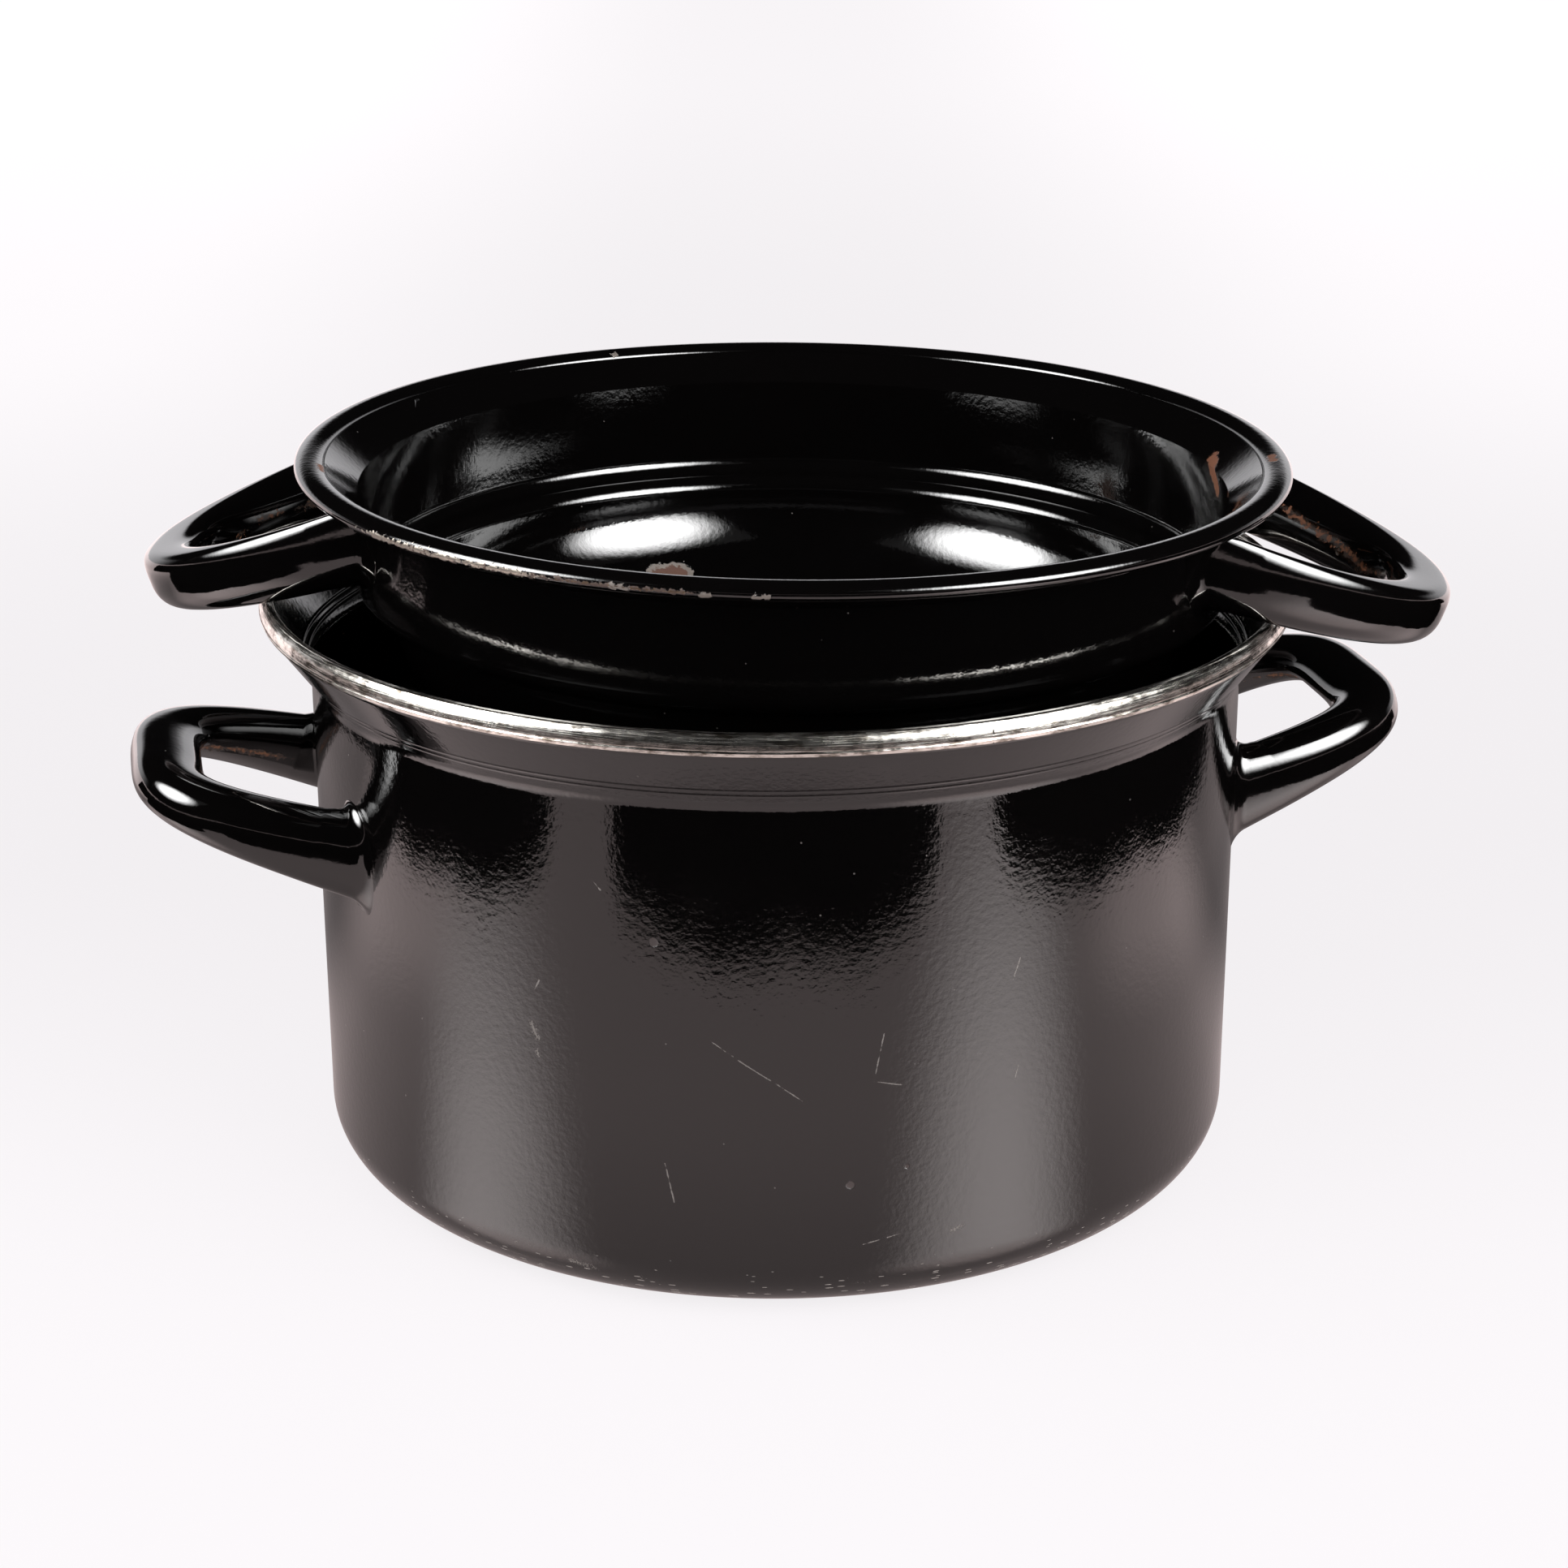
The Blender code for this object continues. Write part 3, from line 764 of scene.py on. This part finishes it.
def stainless():
    """Polished stainless steel, rubbed along its length by lids, spoons and cloths."""
    made = bpy.data.materials.new("polished stainless steel, worn")
    made.use_nodes = True
    tree = made.node_tree
    shader = tree.nodes["Principled BSDF"]
    shader.inputs["Metallic"].default_value = 1.0
    where = add(tree, "ShaderNodeTexCoord").outputs["Object"]
    parts = add(tree, "ShaderNodeSeparateXYZ", {0: where})
    angle = add(tree, "ShaderNodeMath", {
        0: parts.outputs["Y"], 1: parts.outputs["X"],
    }, operation="ARCTAN2")
    along = add(tree, "ShaderNodeAttribute", attribute_name="along")
    # Scratches run round the rim: 13 mm long against 0.24 mm wide
    strip = add(tree, "ShaderNodeCombineXYZ", {0: angle, 1: along.outputs["Fac"]})
    long = add(tree, "ShaderNodeMapping", {"Vector": strip, "Scale": (10.0, 4200.0, 1.0)})
    rub = add(tree, "ShaderNodeTexNoise", {
        "Vector": long, "Scale": 1.0, "Detail": 3.0, "Roughness": 0.6,
    })
    # Limescale and old fat sit in blotches 6 mm long and 2.4 mm wide
    wide = add(tree, "ShaderNodeMapping", {"Vector": strip, "Scale": (22.0, 420.0, 1.0)})
    stain = add(tree, "ShaderNodeTexNoise", {
        "Vector": wide, "Scale": 1.0, "Detail": 6.0, "Roughness": 0.7,
    })
    tone = add(tree, "ShaderNodeMapRange", {
        "Value": stain, "From Min": 0.47, "From Max": 0.64,
    })
    worn = add(tree, "ShaderNodeMix", {
        "Factor": tone, 6: paint("dedad3"), 7: paint("6d655b"),
    }, data_type="RGBA")
    joint = nearest(tree, where, BAND_JOINT)
    still = spread(tree, where, 900.0, 0.00004)
    gap = within(tree, joint, still, 0.0, 0.00008)
    colour = add(tree, "ShaderNodeMix", {
        "Factor": gap, 6: worn.outputs[2], 7: paint("2a2622"),
    }, data_type="RGBA")
    rough = add(tree, "ShaderNodeMapRange", {
        "Value": rub, "From Min": 0.35, "From Max": 0.7, "To Min": 0.10, "To Max": 0.32,
    })
    dents = add(tree, "ShaderNodeTexNoise", {"Vector": where, "Scale": 75.0, "Detail": 3.0})
    fine = add(tree, "ShaderNodeMath", {0: rub, 1: 0.00002}, operation="MULTIPLY")
    deep = add(tree, "ShaderNodeMath", {
        0: dents, 1: 0.00055, 2: fine,
    }, operation="MULTIPLY_ADD")
    cut = add(tree, "ShaderNodeMath", {0: gap, 1: -0.0001, 2: deep}, operation="MULTIPLY_ADD")
    bump = add(tree, "ShaderNodeBump", {"Height": cut, "Distance": 1.0, "Strength": 1.0})
    tree.links.new(colour.outputs[2], shader.inputs["Base Color"])
    tree.links.new(rough.outputs[0], shader.inputs["Roughness"])
    tree.links.new(bump.outputs[0], shader.inputs["Normal"])
    return made


def at_azimuth(azimuth, radius, height, shift=0.0):
    """A point at an azimuth counted from the front, positive to the right."""
    a = math.radians(azimuth)
    return (shift + radius * math.sin(a), -radius * math.cos(a), height)


def on_wall(azimuth, height):
    """A point of the body's wall."""
    return at_azimuth(azimuth, BODY_RADIUS, height)


def on_lid(azimuth, radius, height):
    """A point at a radius from the lid's own axis."""
    return at_azimuth(azimuth, radius, height, LID_SHIFT)


# Damage that the photograph shows, as (start, end, radius)
BODY_SCRATCHES = [
    (on_wall(-7.2, 0.0725), on_wall(-3.2, 0.0665), 0.00008),
    (on_wall(-3.2, 0.0665), on_wall(0.2, 0.0618), 0.00008),
    (on_wall(0.2, 0.0618), on_wall(3.0, 0.0575), 0.00010),
    (on_wall(12.2, 0.0735), on_wall(11.1, 0.0615), 0.00008),
    (on_wall(11.1, 0.0615), on_wall(14.2, 0.0600), 0.00008),
    (on_wall(28.7, 0.0875), on_wall(27.8, 0.0825), 0.00014),
    (on_wall(15.2, 0.0650), on_wall(24.5, 0.0650), 0.00005),
    (on_wall(-27.6, 0.0825), on_wall(-28.2, 0.0800), 0.00016),
    (on_wall(-12.6, 0.0400), on_wall(-11.6, 0.0300), 0.00012),
    (on_wall(10.0, 0.0190), on_wall(14.5, 0.0210), 0.00008),
    (on_wall(28.8, 0.0600), on_wall(28.3, 0.0560), 0.00010),
    (on_wall(-20.5, 0.1100), on_wall(-19.6, 0.1080), 0.00012),
]
BODY_SCUFFS = [
    (on_wall(-28.8, 0.0710), on_wall(-28.0, 0.0675), 0.0005),
    (on_wall(-28.2, 0.0645), on_wall(-28.0, 0.0630), 0.0003),
    (on_wall(8.4, 0.0078), on_wall(11.2, 0.0082), 0.0006),
    (on_wall(-21.5, 0.0088), on_wall(-24.6, 0.0098), 0.0007),
    (on_wall(-12.5, 0.0073), on_wall(-16.5, 0.0080), 0.0006),
    (on_wall(20.5, 0.0195), on_wall(22.0, 0.0205), 0.0002),
]
BODY_PITS = [
    (on_wall(-13.5, 0.0964), on_wall(-13.5, 0.0964), 0.0009),
    (on_wall(8.5, 0.0350), on_wall(8.5, 0.0350), 0.0008),
    (on_wall(15.0, 0.0385), on_wall(15.0, 0.0385), 0.0004),
]
# Strips of the bead: from and to azimuth, half width, colour, roughness, metal, edge, grain
BEAD_WEAR = [
    (-60.0, 2.0, 0.0004, "3f281b", 0.6, 0.0, 0.0010, 700.0),
    (-60.0, -20.0, 0.0006, "b0a89d", 0.38, 1.0, 0.0013, 900.0),
    (-30.0, -6.0, 0.0000, "6a5a4c", 0.45, 1.0, 0.0010, 900.0),
]
LID_RUST = [
    (on_lid(85.0, 0.1217, 0.1833), on_lid(87.5, 0.1217, 0.1833), 0.0010),
    (on_lid(-76.0, 0.1195, 0.1858), on_lid(-79.0, 0.1195, 0.1858), 0.0007),
    (on_lid(101.5, 0.1122, 0.1768), on_lid(95.5, 0.1108, 0.1702), 0.0018),
]
HANDLE_RUST = [
    ((0.1354, 0.0256, 0.1607), (0.1423, 0.0203, 0.1568), 0.0014),
    ((0.1423, 0.0203, 0.1568), (0.1490, 0.0141, 0.1533), 0.0016),
    ((0.1490, 0.0141, 0.1533), (0.1535, 0.0077, 0.1498), 0.0015),
    ((0.1535, 0.0077, 0.1498), (0.1562, 0.0020, 0.1500), 0.0012),
    ((-0.1385, 0.0318, 0.1569), (-0.1329, 0.0356, 0.1577), 0.0009),
]
LID_CHIPS = [
    (on_lid(-156.0, 0.0905, 0.1268), on_lid(-159.5, 0.0905, 0.1268), 0.0046),
    (on_lid(-155.0, 0.1192, 0.1846), on_lid(-155.0, 0.1192, 0.1846), 0.0008),
    (on_lid(-66.5, 0.1120, 0.1625), on_lid(-66.5, 0.1120, 0.1625), 0.0009),
    (on_lid(-18.5, 0.1259, 0.1829), on_lid(-17.0, 0.1258, 0.1827), 0.0006),
    (on_lid(-8.5, 0.1258, 0.1822), on_lid(-9.5, 0.1258, 0.1822), 0.0005),
    (on_lid(-4.0, 0.1258, 0.1822), on_lid(-2.5, 0.1258, 0.1822), 0.0005),
]
BAND_JOINT = [((0.0490, -0.1225, 0.1400), (0.0490, -0.1225, 0.1530), 0.00012)]


# The pieces

TURNED = turned_tree()
body_enamel = body_finish()
handle_enamel = handle_finish()
steel = stainless()

pot_line = pot_middle_line()
mouth_top = pot_line[-1].y
pot_body = turned("enamel_pot_body", shell_outline(pot_line, BODY_SHEET), body_enamel)
settle(pot_body, "pot", "pot_body")
rim = turned("steel_rim_band", band_outline(mouth_top), steel)
settle(rim, "pot", "rim_band")
pot_wall = [Vector((BODY_RADIUS, 0.0)), Vector((BODY_RADIUS, FLARE_FOOT_HEIGHT))]
for side, turn in SIDES:
    piece = handle("enamel_pot_handle_" + side, pot_wall, POT_LOOP,
                   POT_HANDLE_TURN + turn, handle_enamel)
    settle(piece, "pot", "pot_handle_" + side)

lid_place = Matrix.Translation((LID_SHIFT, 0.0, LID_SEAT)) @ Matrix.Rotation(LID_TILT, 4, "Y")
lid_line = lid_middle_line()
lid_outline = shell_outline(lid_line, LID_SHEET)
# The outline's first half is its upper side, and there the bead's lower outer edge wears
worn_way = 0.0
for i in range(1, len(lid_line)):
    worn_way += (lid_outline[i] - lid_outline[i - 1]).length
    low = lid_outline[i].y < lid_line[-1].y + BEAD_WEAR_RISE
    if lid_outline[i].x > BEAD_RADIUS - BEAD_WEAR_INSET and low:
        break
lid_enamel = lid_finish(worn_way)
lid_bowl = turned("enamel_lid_bowl", lid_outline, lid_enamel, lid_place)
settle(lid_bowl, "lid", "lid_bowl")
# The lid's handles are welded to its collar and to the flare up to the bead
lid_wall = [Vector((COLLAR_RADIUS, -0.01)), Vector((COLLAR_RADIUS, COLLAR_HEIGHT))]
for p in offset_line(lid_line, LID_SHEET / 2):
    on_flare = COLLAR_RADIUS + 0.0001 < p.x < BEAD_RADIUS - BEAD_WIDTH
    if on_flare and p.y > lid_wall[-1].y and p.x > lid_wall[-1].x:
        lid_wall.append(p)
for side, turn in SIDES:
    piece = handle("enamel_lid_handle_" + side, lid_wall, LID_LOOP,
                   LID_HANDLE_TURN + turn, handle_enamel, lid_place)
    settle(piece, "lid", "lid_handle_" + side)


# Studio


def card(name, corners, look):
    """A flat stage piece."""
    mesh = bpy.data.meshes.new(name)
    mesh.from_pydata(corners, [], [tuple(range(len(corners)))])
    if len(corners) == 4:
        square = mesh.uv_layers.new(name="square")
        for i, at in enumerate(((0, 0), (1, 0), (1, 1), (0, 1))):
            square.data[i].uv = at
    piece = bpy.data.objects.new(name, mesh)
    bpy.context.scene.collection.objects.link(piece)
    mesh.materials.append(look)
    return piece


def reflected_only(piece):
    """Only mirror-like rays see it, as they see what stands round a photographer's table."""
    piece.visible_camera = False
    piece.visible_diffuse = False
    piece.visible_shadow = False
    piece.visible_transmission = False


def table_finish():
    """White lacquered table top that keeps a soft shadow; its glow carries painted light and
    shade round the pot.
    """
    look = bpy.data.materials.new("white lacquered table")
    look.use_nodes = True
    tree = look.node_tree
    mirrored = tree.nodes["Principled BSDF"]
    rays = add(tree, "ShaderNodeLightPath")
    where = add(tree, "ShaderNodeTexCoord").outputs["Object"]
    parts = add(tree, "ShaderNodeSeparateXYZ", {0: where})
    # Seen by the camera: matt, with painted light and shade: brighter in front and far behind
    # than close behind the pot
    near = add(tree, "ShaderNodeMapRange", {
        "Value": parts.outputs["Y"], "From Min": -0.12, "From Max": 0.25, "To Min": 0.875,
        "To Max": 0.815,
    }, interpolation_type="SMOOTHSTEP")
    far = add(tree, "ShaderNodeMapRange", {
        "Value": parts.outputs["Y"], "From Min": 0.5, "From Max": 2.1, "To Min": 0.0,
        "To Max": 0.09,
    }, interpolation_type="SMOOTHSTEP")
    aside = add(tree, "ShaderNodeMath", {0: parts.outputs["X"]}, operation="ABSOLUTE")
    wide = add(tree, "ShaderNodeMapRange", {
        "Value": aside, "From Min": 0.05, "From Max": 0.42, "To Min": 0.0, "To Max": 1.2,
    }, interpolation_type="SMOOTHSTEP")
    back = add(tree, "ShaderNodeMapRange", {
        "Value": parts.outputs["Y"], "From Min": 0.3, "From Max": 1.0, "To Min": 0.0,
        "To Max": 0.09,
    }, interpolation_type="SMOOTHSTEP")
    lift = add(tree, "ShaderNodeMath", {0: back, 1: wide, 2: far}, operation="MULTIPLY_ADD")
    level = add(tree, "ShaderNodeMath", {0: near, 1: lift}, operation="ADD")
    seen = add(tree, "ShaderNodeBsdfPrincipled", {
        "Base Color": paint(TABLE_WHITE, TABLE_DIM), "Roughness": 1.0,
        "Specular IOR Level": 0.0, "Emission Color": paint("fbf8fa"),
        "Emission Strength": level,
    })
    # Mirrored by the pot: painted shade darkens the table close to it
    flat = add(tree, "ShaderNodeVectorMath", {0: where}, operation="LENGTH")
    shade = add(tree, "ShaderNodeMapRange", {
        "Value": flat.outputs["Value"], "From Min": 0.105, "From Max": 0.24, "To Min": 0.42,
        "To Max": 0.64,
    }, interpolation_type="SMOOTHSTEP")
    # Painted shadow of the pot on the table behind it, out to about half a metre
    behind = add(tree, "ShaderNodeMapRange", {
        "Value": parts.outputs["Y"], "From Min": 0.02, "From Max": 0.12,
    }, interpolation_type="SMOOTHSTEP")
    around = add(tree, "ShaderNodeMapRange", {
        "Value": flat.outputs["Value"], "From Min": 0.40, "From Max": 0.60, "To Min": 0.75,
        "To Max": 0.0,
    }, interpolation_type="SMOOTHSTEP")
    painted_shadow_behind = add(tree, "ShaderNodeMath", {0: behind, 1: around}, operation="MULTIPLY")
    left = add(tree, "ShaderNodeMath", {0: 1.0, 1: painted_shadow_behind}, operation="SUBTRACT")
    shade = add(tree, "ShaderNodeMath", {0: shade, 1: left}, operation="MULTIPLY")
    # Painted light: the mirrored table is brighter beside the pot, where both softboxes would
    # light it most
    beside = add(tree, "ShaderNodeMapRange", {
        "Value": aside, "From Min": 0.21, "From Max": 0.30, "To Min": 0.0, "To Max": 0.9,
    }, interpolation_type="SMOOTHSTEP")
    level_with = add(tree, "ShaderNodeMapRange", {
        "Value": parts.outputs["Y"], "From Min": -0.17, "From Max": -0.05,
    }, interpolation_type="SMOOTHSTEP")
    painted_light_beside = add(tree, "ShaderNodeMath", {
        0: beside, 1: level_with, 2: 1.0,
    }, operation="MULTIPLY_ADD")
    shade = add(tree, "ShaderNodeMath", {0: shade, 1: painted_light_beside}, operation="MULTIPLY")
    glow = add(tree, "ShaderNodeMix", {
        "Factor": rays.outputs["Is Glossy Ray"], 2: 0.0, 3: shade,
    })
    glow = add(tree, "ShaderNodeMix", {
        "Factor": rays.outputs["Is Transmission Ray"], 2: glow, 3: 0.9,
    })
    base = add(tree, "ShaderNodeMix", {
        "Factor": rays.outputs["Is Glossy Ray"], 6: paint(TABLE_WHITE),
        7: paint(TABLE_WHITE, TABLE_DIM),
    }, data_type="RGBA")
    tree.links.new(base.outputs[2], mirrored.inputs["Base Color"])
    tree.links.new(glow.outputs[0], mirrored.inputs["Emission Strength"])
    mirrored.inputs["Emission Color"].default_value = paint("ffe9e7")
    mirrored.inputs["Specular Tint"].default_value = paint("ffe6e2")
    mirrored.inputs["Roughness"].default_value = 0.15
    both = add(tree, "ShaderNodeMixShader", {
        0: rays.outputs["Is Camera Ray"], 1: mirrored, 2: seen,
    })
    tree.links.new(both.outputs[0], tree.nodes["Material Output"].inputs["Surface"])
    return look


def black_cloth():
    """Black flag cloth, which keeps the table's white out of the enamel."""
    look = bpy.data.materials.new("black flag")
    look.use_nodes = True
    shader = look.node_tree.nodes["Principled BSDF"]
    shader.inputs["Base Color"].default_value = paint("050505")
    shader.inputs["Roughness"].default_value = 1.0
    shader.inputs["Specular IOR Level"].default_value = 0.0
    return look


def softbox_cloth(name, strength):
    """White cloth lit from behind: brightest in its middle, fading to its corners."""
    look = bpy.data.materials.new(name)
    look.use_nodes = True
    tree = look.node_tree
    shader = tree.nodes["Principled BSDF"]
    shader.inputs["Base Color"].default_value = paint("050505")
    where = add(tree, "ShaderNodeTexCoord").outputs["UV"]
    centred = add(tree, "ShaderNodeVectorMath", {
        0: where, 1: (0.5, 0.5, 0.0),
    }, operation="SUBTRACT")
    far = add(tree, "ShaderNodeVectorMath", {0: centred}, operation="LENGTH")
    fade = add(tree, "ShaderNodeMapRange", {
        "Value": far.outputs["Value"], "From Min": 0.14, "From Max": 0.50, "To Min": strength,
        "To Max": 0.0,
    }, interpolation_type="SMOOTHSTEP")
    shader.inputs["Emission Color"].default_value = (1.0, 1.0, 1.0, 1.0)
    tree.links.new(fade.outputs[0], shader.inputs["Emission Strength"])
    return look


def dark_table(name, start, end, radius, rounding, look):
    """Where the white table ends, from one azimuth to another, its corners well rounded."""
    inner, outer = [], []
    for k in range(CLOTH_POINTS + 1):
        t = 2.0 * k / CLOTH_POINTS - 1.0
        azimuth = start + (end - start) * k / CLOTH_POINTS
        r = radius + rounding * (1.0 - math.sqrt(max(0.0, 1.0 - t ** 4)))
        # The cloth's edge waves by a few millimetres
        r += 0.004 * math.sin(9.0 * t + radius * 40.0) + 0.003 * math.sin(23.0 * t)
        inner.append(at_azimuth(azimuth, r, CLOTH_HEIGHT))
        outer.append(at_azimuth(azimuth, TABLE_END, CLOTH_HEIGHT))
    reflected_only(card("dark_table_" + name, inner + outer[::-1], look))


def softbox(name, azimuth, elevation, distance, width, height, power, strength):
    """A lamp that lights, and its white front, which only reflections see."""
    lamp = bpy.data.lights.new(name, "AREA")
    lamp.shape = "RECTANGLE"
    lamp.size = width
    lamp.size_y = height
    lamp.energy = power
    piece = bpy.data.objects.new(name, lamp)
    bpy.context.scene.collection.objects.link(piece)
    piece.visible_glossy = False
    a, e = math.radians(azimuth), math.radians(elevation)
    back = Vector((math.sin(a) * math.cos(e), -math.cos(a) * math.cos(e), math.sin(e)))
    place = Matrix.Translation(STUDIO_MIDDLE + back * distance)
    place @= (-back).to_track_quat("-Z", "Y").to_matrix().to_4x4()
    piece.matrix_world = place
    corners = [place @ Vector((x * width / 2, y * height / 2, 0.0))
               for x, y in ((-1, -1), (1, -1), (1, 1), (-1, 1))]
    reflected_only(card(name + "_front", corners, softbox_cloth(name + " cloth", strength)))


card("table", [(-6, -6, 0), (6, -6, 0), (6, 6, 0), (-6, 6, 0)], table_finish())

# The white table ends round the front: nearer where the tripod and two stands stay dark
flag = black_cloth()
for name, start, end, radius, rounding in (
    ("front", -34, 34, 0.335, 0.10), ("left", -101, -47, 0.35, 0.10),
    ("right", 46, 118, 0.35, 0.10), ("gap_left", -47, -34, 0.50, 0.0),
    ("gap_right", 34, 46, 0.50, 0.0), ("back_left", -120, -101, 0.62, 0.0),
    ("back_right", 118, 124, 0.62, 0.0),
):
    dark_table(name, start, end, radius, rounding, flag)

softbox("softbox_right", azimuth=53, elevation=29, distance=1.1, width=1.15, height=1.0,
        power=9.0, strength=22.0)
softbox("softbox_left", azimuth=-72, elevation=31, distance=1.1, width=1.15, height=0.95,
        power=8.0, strength=22.0)

# The room: dark, with a low white sweep of paper behind the table
world = bpy.data.worlds.new("studio")
bpy.context.scene.world = world
world.use_nodes = True
tree = world.node_tree
sky = tree.nodes["Background"]
direction = add(tree, "ShaderNodeTexCoord").outputs["Generated"]
parts = add(tree, "ShaderNodeSeparateXYZ", {0: direction})
behind = add(tree, "ShaderNodeMapRange", {
    "Value": parts.outputs["Y"], "From Min": 0.30, "From Max": 0.75,
}, interpolation_type="SMOOTHSTEP")
low = add(tree, "ShaderNodeMapRange", {
    "Value": parts.outputs["Z"], "From Min": 0.15, "From Max": 0.27, "To Min": 1.0,
    "To Max": 0.0,
}, interpolation_type="SMOOTHSTEP")
wall = add(tree, "ShaderNodeMath", {0: behind, 1: low}, operation="MULTIPLY")
room = add(tree, "ShaderNodeMapRange", {"Value": wall, "To Min": 0.004, "To Max": 1.1})
rays = add(tree, "ShaderNodeLightPath")
lit = add(tree, "ShaderNodeMix", {"Factor": rays.outputs["Is Glossy Ray"], 2: 0.55, 3: room})
level = add(tree, "ShaderNodeMix", {"Factor": rays.outputs["Is Camera Ray"], 2: lit, 3: 0.97})
tree.links.new(level.outputs[0], sky.inputs["Strength"])
sky.inputs["Color"].default_value = paint("fbf9fc")

# Camera
lens = bpy.data.cameras.new("camera")
lens.lens = 75.004
lens.sensor_width = 36.0
camera = bpy.data.objects.new("camera", lens)
bpy.context.scene.collection.objects.link(camera)
pitch = Matrix.Rotation(math.radians(70.074), 4, "X")
aim = pitch @ Matrix.Rotation(math.radians(-0.112), 4, "Z")
camera.matrix_world = Matrix.Translation((0.00214, -0.81299, 0.38768)) @ aim
bpy.context.scene.camera = camera
bpy.context.scene.view_settings.view_transform = "Standard"
